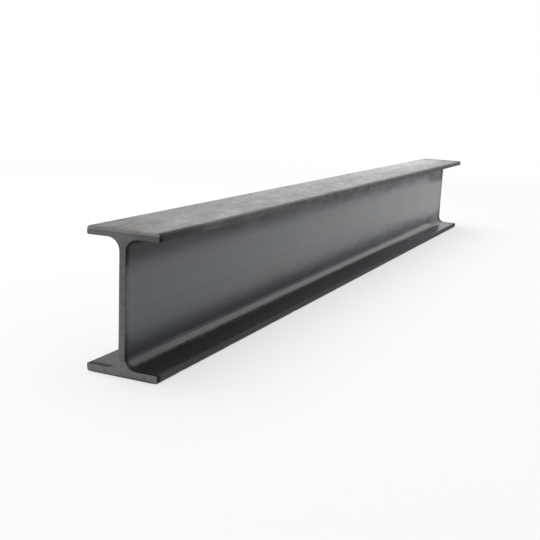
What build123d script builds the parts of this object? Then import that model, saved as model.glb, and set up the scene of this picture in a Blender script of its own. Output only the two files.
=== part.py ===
from build123d import *
import os

# A short length of hot-rolled steel I-beam with parallel flanges, sawn square at both ends.
# The beam lies along X and stands on its bottom flange. The origin is at the middle of the
# underside: X runs along the length, Y across the flanges and Z up through the web.

# Driving sizes of the rolled section, in millimetres
section_height = 100.0
flange_width = 56.0
flange_thickness = 5.7
web_thickness = 5.0
root_radius = 9.0

# Rounding of the flange toes, at the outer face of the flange and at its inner face
outer_toe_radius = 1.2
inner_toe_radius = 0.8

# Length as cut, and the small bevel that deburring leaves along each sawn edge
beam_length = 850.0
sawn_edge_bevel = 0.4


def toe_corner_rows(profile):
    """The corners at the tips of the flanges, in rows from the underside of the beam up."""
    columns = profile.vertices().group_by(Axis.X)
    return (columns[0] + columns[-1]).group_by(Axis.Y)


os.makedirs("parts", exist_ok=True)

with BuildPart() as i_beam:
    with BuildSketch(Plane.YZ) as section:
        # Two equal flanges and the web between them, one outline with no joint in it
        Rectangle(flange_width, flange_thickness, align=(Align.CENTER, Align.MIN))
        with Locations((0, section_height)):
            Rectangle(flange_width, flange_thickness, align=(Align.CENTER, Align.MAX))
        Rectangle(web_thickness, section_height, align=(Align.CENTER, Align.MIN))

        # Roots, where the web runs into the flanges
        corner_columns = section.vertices().group_by(Axis.X)
        fillet(corner_columns[1] + corner_columns[2], radius=root_radius)

        # Toes, first the corners on the two outer faces and then the four on the inner faces
        toes = toe_corner_rows(section)
        fillet(toes[0] + toes[-1], radius=outer_toe_radius)
        toes = toe_corner_rows(section)
        fillet(toes[1] + toes[2], radius=inner_toe_radius)

    # Rolled along X, half the length to each side of the origin
    extrude(amount=beam_length / 2, both=True)

    # Sawn ends, their edges broken all round
    sawn_ends = i_beam.faces().filter_by(Axis.X)
    chamfer(sawn_ends.edges(), length=sawn_edge_bevel)

i_beam.part.label = "i_beam"
export_step(i_beam.part, "parts/i_beam.step")

print(f"section area {section.sketch.area:.1f} mm2, volume {i_beam.part.volume:.0f} mm3")
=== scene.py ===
from math import cos, exp, pi, radians, sin
import random

import bmesh
import bpy
from mathutils import Matrix, Vector, noise


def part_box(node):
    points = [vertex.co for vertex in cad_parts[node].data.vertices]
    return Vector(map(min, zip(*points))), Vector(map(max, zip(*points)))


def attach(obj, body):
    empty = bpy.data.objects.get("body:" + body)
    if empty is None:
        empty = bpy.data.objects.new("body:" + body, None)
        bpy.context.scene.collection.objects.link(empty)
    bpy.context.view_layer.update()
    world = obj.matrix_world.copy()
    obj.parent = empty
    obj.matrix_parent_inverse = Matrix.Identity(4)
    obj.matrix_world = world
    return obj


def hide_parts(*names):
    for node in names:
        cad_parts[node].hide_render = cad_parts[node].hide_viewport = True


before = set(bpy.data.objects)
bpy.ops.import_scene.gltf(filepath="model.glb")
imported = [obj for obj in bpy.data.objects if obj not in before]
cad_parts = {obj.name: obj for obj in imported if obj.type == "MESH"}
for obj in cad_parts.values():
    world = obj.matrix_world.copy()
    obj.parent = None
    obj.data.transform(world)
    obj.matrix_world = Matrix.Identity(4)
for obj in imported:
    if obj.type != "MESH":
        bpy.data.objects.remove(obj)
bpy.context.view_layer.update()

# The beam: one bar of hot-rolled structural steel with parallel flanges. Flanges, web and roots come
# out of the rolls as a single piece, still blue-grey with mill scale, and the bar is then sawn to
# length, which leaves two bare ends. It stands loose on its lower flange.
MM = 0.001
low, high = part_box("i_beam")
length = high.x - low.x
flange_width = high.y - low.y
height = high.z - low.z
flange = 5.7 * MM
web = 5.0 * MM
root_radius = 9.0 * MM
outer_toe = 1.2 * MM
inner_toe = 0.8 * MM
half_length = length / 2
half_width = flange_width / 2
ceiling = height - flange


def straight(start, end, pitch):
    """Points from start up to, but without, end, about a pitch apart."""
    steps = max(1, round((Vector(end) - Vector(start)).length / pitch))
    return [Vector(start).lerp(Vector(end), step / steps) for step in range(steps)]


def rounding(centre, radius, first, turn, steps):
    """Points round a corner, from the first angle through the turn in degrees, without the last."""
    angles = [radians(first + turn * step / steps) for step in range(steps)]
    return [Vector(centre) + radius * Vector((cos(a), sin(a))) for a in angles]


def quarter_outline():
    """A quarter of the section, as (y, z) from the middle of the underside to the middle of the web."""
    tip = half_width
    flat_pitch, web_pitch, toe_pitch = 4 * MM, 5 * MM, 0.8 * MM
    outer_toe_steps, inner_toe_steps, root_steps = 4, 3, 12
    return (
        straight((0, 0), (tip - outer_toe, 0), flat_pitch)
        + rounding((tip - outer_toe, outer_toe), outer_toe, -90, 90, outer_toe_steps)
        + straight((tip, outer_toe), (tip, flange - inner_toe), toe_pitch)
        + rounding((tip - inner_toe, flange - inner_toe), inner_toe, 0, 90, inner_toe_steps)
        + straight((tip - inner_toe, flange), (web / 2 + root_radius, flange), flat_pitch)
        + rounding((web / 2 + root_radius, flange + root_radius), root_radius, -90, -90, root_steps)
        + straight((web / 2, flange + root_radius), (web / 2, height / 2), web_pitch)
        + [Vector((web / 2, height / 2))]
    )


def section_outline():
    """The whole section, anticlockwise with y to the right and z up."""
    lower_right = quarter_outline()
    upper_right = [Vector((p.x, height - p.y)) for p in reversed(lower_right)]
    right = lower_right[:-1] + upper_right
    left = [Vector((-p.x, p.y)) for p in reversed(right)]
    return right[:-1] + left[:-1]


outline = section_outline()
around = len(outline)
outward = []
for spot in range(around):
    run = outline[(spot + 1) % around] - outline[spot - 1]
    outward.append(Vector((run.y, -run.x)).normalized())

# Places along the length. The sawn edges are broken by hand, so the section draws in there
edge_break = 0.4 * MM
bend_back, bend_in = 0.4 * edge_break, 0.3 * edge_break
ring_pitch = 1.7 * MM
rings = round(length / ring_pitch)
inner_rings = [
    (-half_length + edge_break + (length - 2 * edge_break) * ring / rings, 0)
    for ring in range(rings + 1)
]
end_rings = [(half_length - bend_back, bend_in), (half_length, edge_break)]
stations = [(-x, inset) for x, inset in reversed(end_rings)] + inner_rings + end_rings

# Knocks that handling leaves along the flange toes and at the four tips of each sawn end
knocks_rng = random.Random(11)
toe_knocks = 46
knocks = []
for knock in range(toe_knocks):
    side = knocks_rng.choice((-1, 1))
    level = knocks_rng.choice((0, flange, ceiling, height))
    spot = Vector((knocks_rng.uniform(-0.5, 0.5) * length, side * half_width, level))
    reach = knocks_rng.uniform(1.2, 4.5) * MM
    depth = knocks_rng.uniform(0.15, 0.5) * MM
    knocks.append((spot, reach, depth, Vector((0, -side, height / 2 - level)).normalized()))
for end in (-1, 1):
    for side in (-1, 1):
        for level in (0, height):
            spot = Vector((end * half_length, side * half_width, level))
            reach = knocks_rng.uniform(1.5, 3.0) * MM
            depth = knocks_rng.uniform(0.3, 0.7) * MM
            knocks.append((spot, reach, depth, Vector((-end, -side, 0)).normalized()))


def rolled_relief(place):
    """How far the rolled skin stands proud: long swells from the rolls and shorter ones in the scale."""
    swell_long, swell_wide, swell_height = 110 * MM, 50 * MM, 0.06 * MM
    ripple_long, ripple_wide, ripple_height = 24 * MM, 12 * MM, 0.025 * MM
    ripple_shift = 40
    swell = noise.noise(Vector((place.x / swell_long, place.y / swell_wide, place.z / swell_wide)))
    ripple = noise.noise(
        Vector((place.x / ripple_long, place.y / ripple_wide, place.z / ripple_wide + ripple_shift)))
    return swell_height * swell + ripple_height * ripple


def knocked(place, near):
    """The place after the knocks near it have pushed it in."""
    moved = place.copy()
    for spot, reach, depth, push in near:
        distance = (place - spot).length / reach
        moved += push * depth * exp(-distance * distance)
    return moved


skin = []
fades_out = 2.5
for x, inset in stations:
    near = [
        (spot, reach, depth, push) for spot, reach, depth, push in knocks
        if abs(x - spot.x) < fades_out * reach
    ]
    for point, out in zip(outline, outward):
        place = Vector((x, point.x, point.y))
        proud = rolled_relief(place) - inset
        skin.append(knocked(place + Vector((0, out.x, out.y)) * proud, near))

shape = bmesh.new()
laid = {}


def lay_ring(ring):
    """Puts the points of one ring of the skin into the shape, once."""
    if ring not in laid:
        laid[ring] = [shape.verts.new(place) for place in skin[ring * around:(ring + 1) * around]]
    return laid[ring]


def wall(ring):
    """Skins the beam between one ring and the next."""
    here, there = lay_ring(ring), lay_ring(ring + 1)
    for spot in range(around):
        beside = (spot + 1) % around
        shape.faces.new((here[spot], here[beside], there[beside], there[spot]))


# The sawn ends come first. Each is cut into narrow rows, so that the blade's marks lie across it
last_ring = len(stations) - 1
wall(0)
wall(last_ring - 1)
near_cut = shape.faces.new(list(reversed(lay_ring(0))))
far_cut = shape.faces.new(lay_ring(last_ring))
mark_pitch = 0.55 * MM
mark_depth = 0.025 * MM
mark_rows = round(height / mark_pitch)
too_close = 1e-7
for cut_face in (near_cut, far_cut):
    strips = [cut_face]
    for row in range(1, mark_rows):
        edges = {edge for strip in strips for edge in strip.edges}
        verts = {vert for strip in strips for vert in strip.verts}
        cut = bmesh.ops.bisect_plane(
            shape, geom=strips + list(edges) + list(verts), dist=too_close,
            plane_co=(0, 0, row * mark_pitch), plane_no=(0, 0, 1),
        )
        strips = [piece for piece in cut["geom"] if isinstance(piece, bmesh.types.BMFace)]
blade_rng = random.Random(5)
blade_marks = [blade_rng.uniform(-mark_depth, mark_depth) for row in range(mark_rows + 2)]
on_the_cut = half_length - 0.001 * MM
for vert in shape.verts:
    if abs(vert.co.x) > on_the_cut:
        row = min(max(round(vert.co.z / mark_pitch), 0), mark_rows)
        vert.co.x += blade_marks[row]

for ring in range(1, last_ring - 1):
    wall(ring)
shape.normal_update()
beam_mesh = bpy.data.meshes.new("i_beam_rolled")
shape.to_mesh(beam_mesh)
shape.free()

beam = bpy.data.objects.new("i_beam_rolled", beam_mesh)
bpy.context.scene.collection.objects.link(beam)
sharp_from = radians(38)
beam_mesh.polygons.foreach_set("use_smooth", [True] * len(beam_mesh.polygons))
beam_mesh.set_sharp_from_angle(angle=sharp_from)

# The beam's finish is the steel as it leaves the mill: blue-grey scale with violet heat tints drawn out
# along it, painted shade on the inner flanges, beside the roots and under the top flange, a painted
# highlight along the lower roots, dust and a breath of rust on the top, worn toes, and bare sawn ends
# with darker skin beside them. All of it is placed by where it is on the beam.
steel = bpy.data.materials.new("hot_rolled_steel")
steel.use_nodes = True
steel_nodes = steel.node_tree.nodes
steel_links = steel.node_tree.links
steel_shader = steel_nodes["Principled BSDF"]


def feed(socket, given):
    """Sets a socket to a number or colour, or joins it to another node's output."""
    if isinstance(given, bpy.types.NodeSocket):
        steel_links.new(given, socket)
    else:
        socket.default_value = given


def work_out(kind, first, second=0.0, clamp=True):
    """One step of arithmetic on numbers or outputs, kept between nothing and one unless told not to."""
    step = steel_nodes.new("ShaderNodeMath")
    step.operation = kind
    step.use_clamp = clamp
    feed(step.inputs[0], first)
    feed(step.inputs[1], second)
    return step.outputs["Value"]


def overlap(first, *others):
    """Where all of these masks overlap."""
    for mask in others:
        first = work_out("MULTIPLY", first, mask)
    return first


def added(first, *others):
    """These masks or amounts together, up to one."""
    for mask in others:
        first = work_out("ADD", first, mask)
    return first


def strongest(first, *others):
    """The strongest of these masks at each place."""
    for mask in others:
        first = work_out("MAXIMUM", first, mask)
    return first


def thinned(mask, strength):
    """A mask at part of its strength."""
    return work_out("MULTIPLY", mask, strength)


def from_middle(reading):
    """How far a place is from the middle, or how far a face turns an axis's way, on either side."""
    return work_out("ABSOLUTE", reading, clamp=False)


def gap(further, nearer):
    """The distance from the nearer to the further of two places on one axis."""
    return work_out("SUBTRACT", further, nearer, clamp=False)


def ease(source, start, end, first=0.0, last=1.0):
    """Goes smoothly from the first amount to the last as the source goes from start to end."""
    step = steel_nodes.new("ShaderNodeMapRange")
    step.interpolation_type = "SMOOTHSTEP"
    feed(step.inputs["Value"], source)
    feed(step.inputs["From Min"], start)
    feed(step.inputs["From Max"], end)
    feed(step.inputs["To Min"], first)
    feed(step.inputs["To Max"], last)
    return step.outputs["Result"]


def lumps(long, wide, detail, roughness, shift, tall=None):
    """Noise in lumps of this length along the beam, this width across and, if given, this height."""
    fit = steel_nodes.new("ShaderNodeMapping")
    feed(fit.inputs["Vector"], where.outputs["Object"])
    feed(fit.inputs["Scale"], (1 / long, 1 / wide, 1 / (tall or wide)))
    feed(fit.inputs["Location"], (shift, 0.7 * shift, 1.3 * shift))
    cloud = steel_nodes.new("ShaderNodeTexNoise")
    feed(cloud.inputs["Vector"], fit.outputs["Vector"])
    feed(cloud.inputs["Scale"], 1.0)
    feed(cloud.inputs["Detail"], detail)
    feed(cloud.inputs["Roughness"], roughness)
    return cloud.outputs["Fac"]


def tint(amount, under, over):
    """Lays one colour over another by an amount, or does the same with numbers."""
    step = steel_nodes.new("ShaderNodeMix")
    step.data_type = "RGBA"
    feed(step.inputs[0], amount)
    feed(step.inputs[6], under)
    feed(step.inputs[7], over)
    return step.outputs[2]


def coated(colour, *coats):
    """Lays coats over a colour in turn. Each coat is an amount and its own colour."""
    for amount, coat in coats:
        colour = tint(amount, colour, coat)
    return colour


where = steel_nodes.new("ShaderNodeTexCoord")
place_parts = steel_nodes.new("ShaderNodeSeparateXYZ")
feed(place_parts.inputs["Vector"], where.outputs["Object"])
facing_parts = steel_nodes.new("ShaderNodeSeparateXYZ")
feed(facing_parts.inputs["Vector"], where.outputs["Normal"])
along, across, up = (place_parts.outputs[name] for name in "XYZ")
faces_along, faces_across, faces_up = (facing_parts.outputs[name] for name in "XYZ")

# Distances from the beam's own faces, edges and cuts
off_web = from_middle(across)
off_toe = gap(half_width, off_web)
off_cut = gap(half_length, from_middle(along))
off_near_cut = gap(along, -half_length)
off_far_cut = gap(half_length, along)
below_top = gap(height, up)
above_flange = gap(up, flange)
below_ceiling = gap(ceiling, up)

# Which face of the section a place is on. Each pair says where a change starts and where it ends
facing_the_end = (0.6, 0.8)
facing_level = (0.6, 0.9)
outer_corner = (3 * MM, 1 * MM)
outer_edge = (2 * MM, 0.5 * MM)
inside_outer_corner = (1 * MM, 3 * MM)
sawn = ease(from_middle(faces_along), *facing_the_end)
rolled = ease(sawn, 1, 0)
top_face = overlap(ease(faces_up, *facing_level), ease(below_top, *outer_corner))
outer_face = added(ease(up, *outer_edge), ease(below_top, *outer_edge))
inner_flange = overlap(
    rolled,
    ease(from_middle(faces_up), *facing_level),
    ease(up, *inside_outer_corner),
    ease(below_top, *inside_outer_corner),
)

# Painted shade under the top flange, which thins out down the web and before the toes
shade_down_web = (16 * MM, 4 * MM)
shade_from_toe = (2 * MM, 5 * MM)
shade_from_top = (0.5 * MM, 3 * MM)
shade_under_top = overlap(
    rolled,
    ease(below_ceiling, *shade_down_web),
    ease(off_toe, *shade_from_toe),
    ease(below_top, *shade_from_top, 0.0, 0.6),
)

# The toes. The lower ones carry painted shade except at the near end, where the upper ones carry a brown
# painted shade
toe_wear = (3.5 * MM, 0.5 * MM)
brown_length = (75 * MM, 25 * MM)
toe_shade_free_length = (15 * MM, 60 * MM)
toe = overlap(rolled, ease(off_toe, *toe_wear))
top_toe = overlap(toe, ease(below_ceiling, flange, 0))
near_top_toe = overlap(top_toe, ease(off_near_cut, *brown_length))
low_toe = overlap(toe, ease(up, ceiling, flange), ease(off_near_cut, *toe_shade_free_length))

# The open web and the lower roots are kept free of the painted shade laid on the rest of the inner skin,
# except in the web's two far corners
unshaded_above_root = (1 * MM, 41 * MM)
unshaded_below_root = (6 * MM, 31 * MM)
root_slant = (0.28, 0.50)
root_reach = (flange_width / 3, flange_width / 4)
root_highlight_ends = (10 * MM, 90 * MM)
corner_length = (0.14 * length, 0.04 * length)
high_corner = (0.60 * height, 0.80 * height)
low_corner = (0.27 * height, 0.15 * height)
open_web = overlap(
    ease(above_flange, *unshaded_above_root, 0.1, 1.0), ease(below_ceiling, *unshaded_below_root))
slant = overlap(from_middle(faces_across), faces_up)
low_root = overlap(ease(slant, *root_slant), ease(off_web, *root_reach))
# The painted highlight along the lower roots, faded towards the cuts
root_highlight = overlap(low_root, ease(off_cut, *root_highlight_ends))
far_corner = overlap(
    ease(off_far_cut, *corner_length),
    added(ease(up, *high_corner), ease(up, *low_corner, 0.0, 0.75)),
)
unshaded_web = overlap(added(open_web, low_root), ease(far_corner, 1, 0))
unshaded_skin = added(unshaded_web, outer_face)

# The skin is darker in a strip beside the cuts, least on the open web and the top, and wider at the far
# cut
cut_strip_width = (7 * MM, 1.5 * MM)
cut_strip_top_edge = (3 * MM, 1.5 * MM)
far_cut_strip_width = (18 * MM, 3 * MM)
dark_cut_strip = overlap(
    rolled,
    ease(off_cut, *cut_strip_width),
    ease(open_web, 0.0, 1.0, 1.0, 0.4),
    ease(below_top, *cut_strip_top_edge, 1.0, 0.25),
)
dark_far_cut_strip = overlap(rolled, ease(off_far_cut, *far_cut_strip_width, 0.0, 0.45))
dark_by_cut = strongest(dark_cut_strip, dark_far_cut_strip)

# Dust and grime lie unevenly on the top, from one end and one side to the other
back_to_front = (0.4 * flange_width, -0.4 * flange_width)
near_end_length = (0.8 * length, 0)
far_end_length = (0.55 * length, 0.05 * length)
near_back_length = (0.4 * length, 0)
grime_length = (70 * MM, 0)
front = ease(across, *back_to_front)
back = ease(front, 1, 0)
near_end = ease(off_near_cut, *near_end_length)
far_end = ease(off_far_cut, *far_end_length)
far_front = overlap(far_end, front)
far_back = overlap(far_end, back)
near_back = overlap(ease(off_near_cut, *near_back_length), back)
end_grime = overlap(top_face, ease(off_cut, *grime_length), ease(front, 0, 1, 1.0, 0.6))

# The patterns in the scale
cloud = lumps(140 * MM, 35 * MM, 4.0, 0.55, 3.1)
broad = lumps(200 * MM, 45 * MM, 3.0, 0.5, 14.9)
drawn_out = lumps(260 * MM, 3.5 * MM, 3.0, 0.6, 7.7)
hairline = lumps(110 * MM, 0.7 * MM, 2.0, 0.5, 9.4)
patch = lumps(30 * MM, 11 * MM, 5.0, 0.65, 21.0)
mottle = lumps(11 * MM, 6.5 * MM, 5.0, 0.65, 12.3)
flake = lumps(8.5 * MM, 5 * MM, 4.0, 0.7, 17.6)
speck = lumps(3.8 * MM, 2.8 * MM, 3.0, 0.6, 5.5)
grain = lumps(1.2 * MM, 0.9 * MM, 2.0, 0.6, 1.9)
flange_spots = added(thinned(speck, 0.6), thinned(grain, 0.4))
pit_spacing = 5.5 * MM
pit_size = (0.13, 0.05)
pit = steel_nodes.new("ShaderNodeTexVoronoi")
feed(pit.inputs["Vector"], where.outputs["Object"])
feed(pit.inputs["Scale"], 1 / pit_spacing)
pitted = overlap(ease(pit.outputs["Distance"], *pit_size), ease(patch, 0.52, 0.62, 0.0, 0.7))

# The colours of scale, dust, rust and bare steel, some of which also serve as painted shade and
# highlights
blue_scale = (0.064, 0.082, 0.103, 1)
grey_scale = (0.078, 0.080, 0.084, 1)
violet_scale = (0.099, 0.079, 0.105, 1)
# Dark scale for streaks and flakes, and for painted shade beside the roots and in the web's far corners
dark_scale_and_shade = (0.031, 0.031, 0.033, 1)
# Near-black for the pits and the inner flanges' mottle, and for painted shade under the top flange and
# on the lower toes
sooty_scale_and_shade = (0.016, 0.016, 0.019, 1)
# Scale darkened as painted shade for the inner flanges; the worn specks below are lighter
shaded_flange_scale = (0.023, 0.022, 0.022, 1)
flange_scale_worn = (0.066, 0.062, 0.060, 1)
rust_bloom = (0.120, 0.098, 0.080, 1)
dust = (0.197, 0.183, 0.170, 1)
# Worn steel for scratches, rubbed specks and blade lines, and for the painted highlight along the lower
# roots
worn_steel_and_highlight = (0.200, 0.200, 0.200, 1)
# Brown for the toes and the grime at the ends of the top, and for painted shade on the upper toes near
# the near end and at one tip of each cut
brown_toe_and_shade = (0.036, 0.033, 0.031, 1)
# The painted highlight for the upper arris of the cuts
arris_highlight_colour = (0.260, 0.250, 0.243, 1)
sawn_steel = (0.104, 0.099, 0.096, 1)
sawn_steel_low = (0.180, 0.178, 0.177, 1)
# The colour of the darker strip beside the cuts
dark_cut_colour = (0.022, 0.021, 0.021, 1)

# The scale itself, with its heat tints, then painted shade beside the roots, in the web's far corners
# and under the top flange, a painted highlight along the lower roots, and the inner flanges in painted
# shade
upper_web = (0.60 * height, 0.75 * height)
below_flange = (0, 5 * MM)
high_violet = overlap(ease(up, *upper_web), ease(broad, 0.38, 0.54))
violet = strongest(ease(broad, 0.48, 0.66, 0, 0.7), high_violet)
# The inner flanges in painted shade, with worn specks and darker mottle
shaded_flange_skin = coated(
    shaded_flange_scale,
    (ease(speck, 0.42, 0.62), flange_scale_worn),
    (ease(mottle, 0.52, 0.66, 0, 0.6), sooty_scale_and_shade),
)
skin_colour = coated(
    blue_scale,
    (ease(cloud, 0.38, 0.62), grey_scale),
    (overlap(violet, ease(below_ceiling, *below_flange)), violet_scale),
    (ease(drawn_out, 0.45, 0.75, 0, 0.30), dark_scale_and_shade),
    (ease(patch, 0.56, 0.66, 0, 0.25), rust_bloom),
    # Painted shade where the skin isn't kept clear, under the top flange and on the inner flanges, and a
    # painted highlight along the lower roots
    (ease(unshaded_skin, 1, 0), dark_scale_and_shade),
    (shade_under_top, sooty_scale_and_shade),
    (thinned(root_highlight, 0.5), worn_steel_and_highlight),
    (inner_flange, shaded_flange_skin),
)

# Dust, dark flakes, rust and grime on the top, and fine scratches all over
skin_colour = coated(
    skin_colour,
    (overlap(top_face, ease(mottle, 0.36, 0.64, 0.0, 0.7)), dust),
    (overlap(top_face, ease(flake, 0.55, 0.68, 0.0, 0.38)), dark_scale_and_shade),
    (overlap(top_face, near_end, ease(patch, 0.4, 0.6, 0.1, 0.8)), rust_bloom),
    (overlap(end_grime, ease(mottle, 0.35, 0.6, 0.2, 0.7)), brown_toe_and_shade),
    (ease(hairline, 0.68, 0.78, 0, 0.4), worn_steel_and_highlight),
)

# The toes, brown and rubbed bright in specks, then painted shade on the upper toes near the near end and
# on the lower toes, then the pits and the darker strip beside the cuts
skin_colour = coated(
    skin_colour,
    (overlap(toe, ease(mottle, 0.3, 0.6, 0.3, 0.9)), brown_toe_and_shade),
    (overlap(toe, ease(speck, 0.6, 0.72, 0, 0.4)), worn_steel_and_highlight),
    (overlap(top_toe, ease(mottle, 0.3, 0.6, 0.05, 0.35)), dust),
    # Painted shade on the upper toes near the near end and on the lower toes away from it
    (thinned(near_top_toe, 0.9), brown_toe_and_shade),
    (overlap(low_toe, ease(speck, 0.35, 0.6, 0.9, 0.3)), sooty_scale_and_shade),
    (pitted, sooty_scale_and_shade),
    (overlap(dark_by_cut, ease(mottle, 0.3, 0.6, 0.6, 1.0)), dark_cut_colour),
)

# The sawn faces: lines from the blade, specks and stains, a painted highlight along the upper arris and
# painted shade at one upper tip
paler_down = (0.6 * height, 0)
off_flange = (3 * MM, 0)
arris_highlight_width = (2.3 * MM, 1.3 * MM)
tip_height = (0.80 * height, 0.92 * height)
tip_width = (-0.05 * flange_width, -0.3 * flange_width)
blade_line = lumps(500 * MM, 50 * MM, 2.0, 0.5, 2.2, tall=0.9 * MM)
cut_flange = added(ease(above_flange, *off_flange), ease(below_ceiling, *off_flange))
# A painted highlight along the upper arris, and painted shade at the front upper tip of each cut
arris_highlight = overlap(ease(below_top, *arris_highlight_width), ease(speck, 0.35, 0.5, 0.6, 1.0))
shaded_tip = overlap(ease(up, *tip_height), ease(across, *tip_width), ease(arris_highlight, 1, 0))
cut_colour = coated(
    sawn_steel,
    (ease(up, *paler_down), sawn_steel_low),
    (ease(blade_line, 0.4, 0.62, 0, 0.35), worn_steel_and_highlight),
    (ease(speck, 0.45, 0.62, 0, 0.6), grey_scale),
    (ease(mottle, 0.45, 0.65, 0, 0.35), rust_bloom),
    (thinned(cut_flange, 0.3), worn_steel_and_highlight),
    (arris_highlight, arris_highlight_colour),
    (thinned(shaded_tip, 0.45), brown_toe_and_shade),
)
feed(steel_shader.inputs["Base Color"], tint(sawn, skin_colour, cut_colour))

# The painted-shade zones shine like dark metal, as do the darker strips beside the cuts and the shaded
# upper toes near the near end, and the rest of the scale like glaze
black_share = strongest(
    overlap(rolled, ease(unshaded_skin, 1, 0), ease(toe, 0, 1, 0.60, 0.30)),
    thinned(dark_by_cut, 0.85),
    thinned(near_top_toe, 0.75),
)
feed(steel_shader.inputs["Metallic"], black_share)
steel_shader.inputs["IOR"].default_value = 1.5
steel_shader.inputs["Specular Tint"].default_value = (0.900, 0.945, 1.0, 1)

# Dullness: least on the open web and the roots, most in the corners, at the toes and on the cuts
skin_dullness = added(ease(patch, 0.35, 0.65, 0.07, 0.17), ease(unshaded_skin, 0, 1, 0.28, 0.0))
behind_web = (0, 5 * MM)
flange_dullness = added(
    overlap(ease(flange_spots, 0.44, 0.58, 0.0, 0.09), ease(far_end, 1, 0)),
    ease(far_end, 0, 1, 0.29, 0.265),
    ease(across, *behind_web, 0, 0.12),
)
top_dullness = added(
    overlap(ease(along, -half_length, half_length, 0.29, 0.11), ease(mottle, 0.3, 0.65, 0.35, 1)),
    thinned(far_front, 0.06),
    thinned(near_back, 0.08),
)
top_dullness = work_out("SUBTRACT", top_dullness, thinned(far_back, 0.12))
top_dullness = added(top_dullness, ease(flake, 0.55, 0.68, 0.0, 0.15))
dullness = added(
    tint(inner_flange, skin_dullness, flange_dullness),
    thinned(toe, 0.25),
    thinned(sawn, 0.25),
    overlap(top_face, top_dullness),
    thinned(dark_by_cut, 0.3),
    thinned(end_grime, 0.12),
)
feed(steel_shader.inputs["Roughness"], dullness)

# Fine relief: grain and flaked patches in the scale, pits sunk into it
grainy = added(
    thinned(grain, 0.3),
    thinned(mottle, 0.3),
    overlap(speck, thinned(top_face, 0.35)),
)
grain_relief = steel_nodes.new("ShaderNodeBump")
feed(grain_relief.inputs["Height"], grainy)
feed(grain_relief.inputs["Strength"], 0.7)
feed(grain_relief.inputs["Distance"], 0.12 * MM)
pit_relief = steel_nodes.new("ShaderNodeBump")
pit_relief.invert = True
feed(pit_relief.inputs["Height"], pitted)
feed(pit_relief.inputs["Strength"], 0.6)
feed(pit_relief.inputs["Distance"], 0.2 * MM)
feed(pit_relief.inputs["Normal"], grain_relief.outputs["Normal"])
feed(steel_shader.inputs["Normal"], pit_relief.outputs["Normal"])
beam_mesh.materials.append(steel)

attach(beam, "root")
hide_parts("i_beam")

# The floor: a wide pale studio floor that runs off into the white behind the beam. It is painted matt
# white, takes the beam's soft shadow, and shows more of its own white the further it is from the beam.
floor_reach = 40.0
floor_level = low.z - 0.2 * MM
shadow_ends = 0.55
white_starts = 1.6
least_white = 0.6
floor_mesh = bpy.data.meshes.new("studio_floor")
floor_mesh.from_pydata(
    [(x * floor_reach, y * floor_reach, floor_level) for x, y in ((-1, -1), (1, -1), (1, 1), (-1, 1))],
    [], [(0, 1, 2, 3)],
)
floor = bpy.data.objects.new("studio_floor", floor_mesh)
bpy.context.scene.collection.objects.link(floor)


def shown_white(nodes, links):
    """One for what the camera sees straight, in a reflection or through glass, and nothing for light."""
    ray = nodes.new("ShaderNodeLightPath")
    shown = ray.outputs["Is Camera Ray"]
    for way in ("Is Glossy Ray", "Is Transmission Ray"):
        step = nodes.new("ShaderNodeMath")
        step.operation = "ADD"
        step.use_clamp = True
        links.new(shown, step.inputs[0])
        links.new(ray.outputs[way], step.inputs[1])
        shown = step.outputs["Value"]
    return shown


floor_paint = bpy.data.materials.new("floor_paint")
floor_paint.use_nodes = True
floor_nodes = floor_paint.node_tree.nodes
floor_links = floor_paint.node_tree.links
floor_shader = floor_nodes["Principled BSDF"]
floor_shader.inputs["Base Color"].default_value = (0.9, 0.9, 0.9, 1)
floor_shader.inputs["Roughness"].default_value = 1.0
floor_shader.inputs["Specular IOR Level"].default_value = 0.0
floor_glow = floor_nodes.new("ShaderNodeEmission")
floor_glow.inputs["Strength"].default_value = 1.0
floor_where = floor_nodes.new("ShaderNodeTexCoord")
from_beam = floor_nodes.new("ShaderNodeVectorMath")
from_beam.operation = "LENGTH"
floor_links.new(floor_where.outputs["Object"], from_beam.inputs[0])
floor_white = floor_nodes.new("ShaderNodeMapRange")
floor_white.interpolation_type = "SMOOTHSTEP"
floor_white.inputs["From Min"].default_value = shadow_ends
floor_white.inputs["From Max"].default_value = white_starts
floor_white.inputs["To Min"].default_value = least_white
floor_white.inputs["To Max"].default_value = 1.0
floor_links.new(from_beam.outputs["Value"], floor_white.inputs["Value"])
glow_share = floor_nodes.new("ShaderNodeMath")
glow_share.operation = "MULTIPLY"
floor_links.new(shown_white(floor_nodes, floor_links), glow_share.inputs[0])
floor_links.new(floor_white.outputs["Result"], glow_share.inputs[1])
floor_mix = floor_nodes.new("ShaderNodeMixShader")
floor_links.new(glow_share.outputs["Value"], floor_mix.inputs["Fac"])
floor_links.new(floor_shader.outputs["BSDF"], floor_mix.inputs[1])
floor_links.new(floor_glow.outputs["Emission"], floor_mix.inputs[2])
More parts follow.
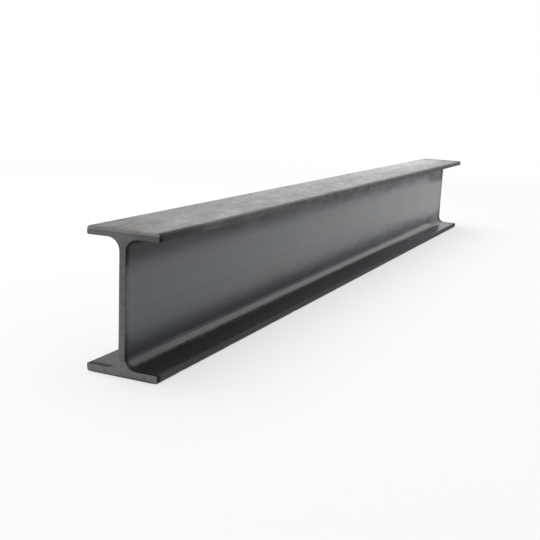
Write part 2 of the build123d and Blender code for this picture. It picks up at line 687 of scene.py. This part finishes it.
floor_links.new(floor_mix.outputs["Shader"], floor_nodes["Material Output"].inputs["Surface"])
floor_mesh.materials.append(floor_paint)

# The light: an even white room, dimmer as a light than it looks, so that it shows as plain white to the
# camera and in the steel, and one large square soft lamp that hangs over the beam, a little behind it.
room_fill = 0.45
world = bpy.data.worlds.new("studio")
bpy.context.scene.world = world
world.use_nodes = True
room_nodes = world.node_tree.nodes
room_links = world.node_tree.links
room = room_nodes["Background"]
room.inputs["Color"].default_value = (1, 1, 1, 1)
room_level = room_nodes.new("ShaderNodeMapRange")
room_level.inputs["To Min"].default_value = room_fill
room_level.inputs["To Max"].default_value = 1.0
room_links.new(shown_white(room_nodes, room_links), room_level.inputs["Value"])
room_links.new(room_level.outputs["Result"], room.inputs["Strength"])

lamp_place = Vector((0.1, 0.5, 1.9))
lamp_aim = Vector((0, 0, 0.05))
lamp_data = bpy.data.lights.new("overhead", "AREA")
lamp_data.size = 2.2
lamp_data.energy = 36.0
lamp = bpy.data.objects.new("overhead", lamp_data)
bpy.context.scene.collection.objects.link(lamp)
lamp.location = lamp_place
lamp.rotation_euler = (lamp_aim - lamp_place).to_track_quat("-Z", "Y").to_euler()

# The camera: it stands before the near end, to the right of the beam and a little above it, and looks
# along the front of the web to the far end. The picture was taken a few degrees out of level.
before_near_end = 0.46257
right_of_beam = 0.31475
above_floor = 0.19199
bearing = radians(24.339)
dip = radians(11.702)
cant = radians(2.554)
camera_data = bpy.data.cameras.new("camera")
camera_data.lens = 57.778
camera_data.sensor_width = 36
camera = bpy.data.objects.new("camera", camera_data)
bpy.context.scene.collection.objects.link(camera)
turn = (
    Matrix.Rotation(bearing - pi / 2, 4, "Z")
    @ Matrix.Rotation(pi / 2 - dip, 4, "X")
    @ Matrix.Rotation(cant, 4, "Z")
)
stand = Vector((-half_length - before_near_end, -right_of_beam, above_floor))
camera.matrix_world = Matrix.Translation(stand) @ turn
bpy.context.scene.camera = camera
bpy.context.scene.view_settings.view_transform = "Standard"
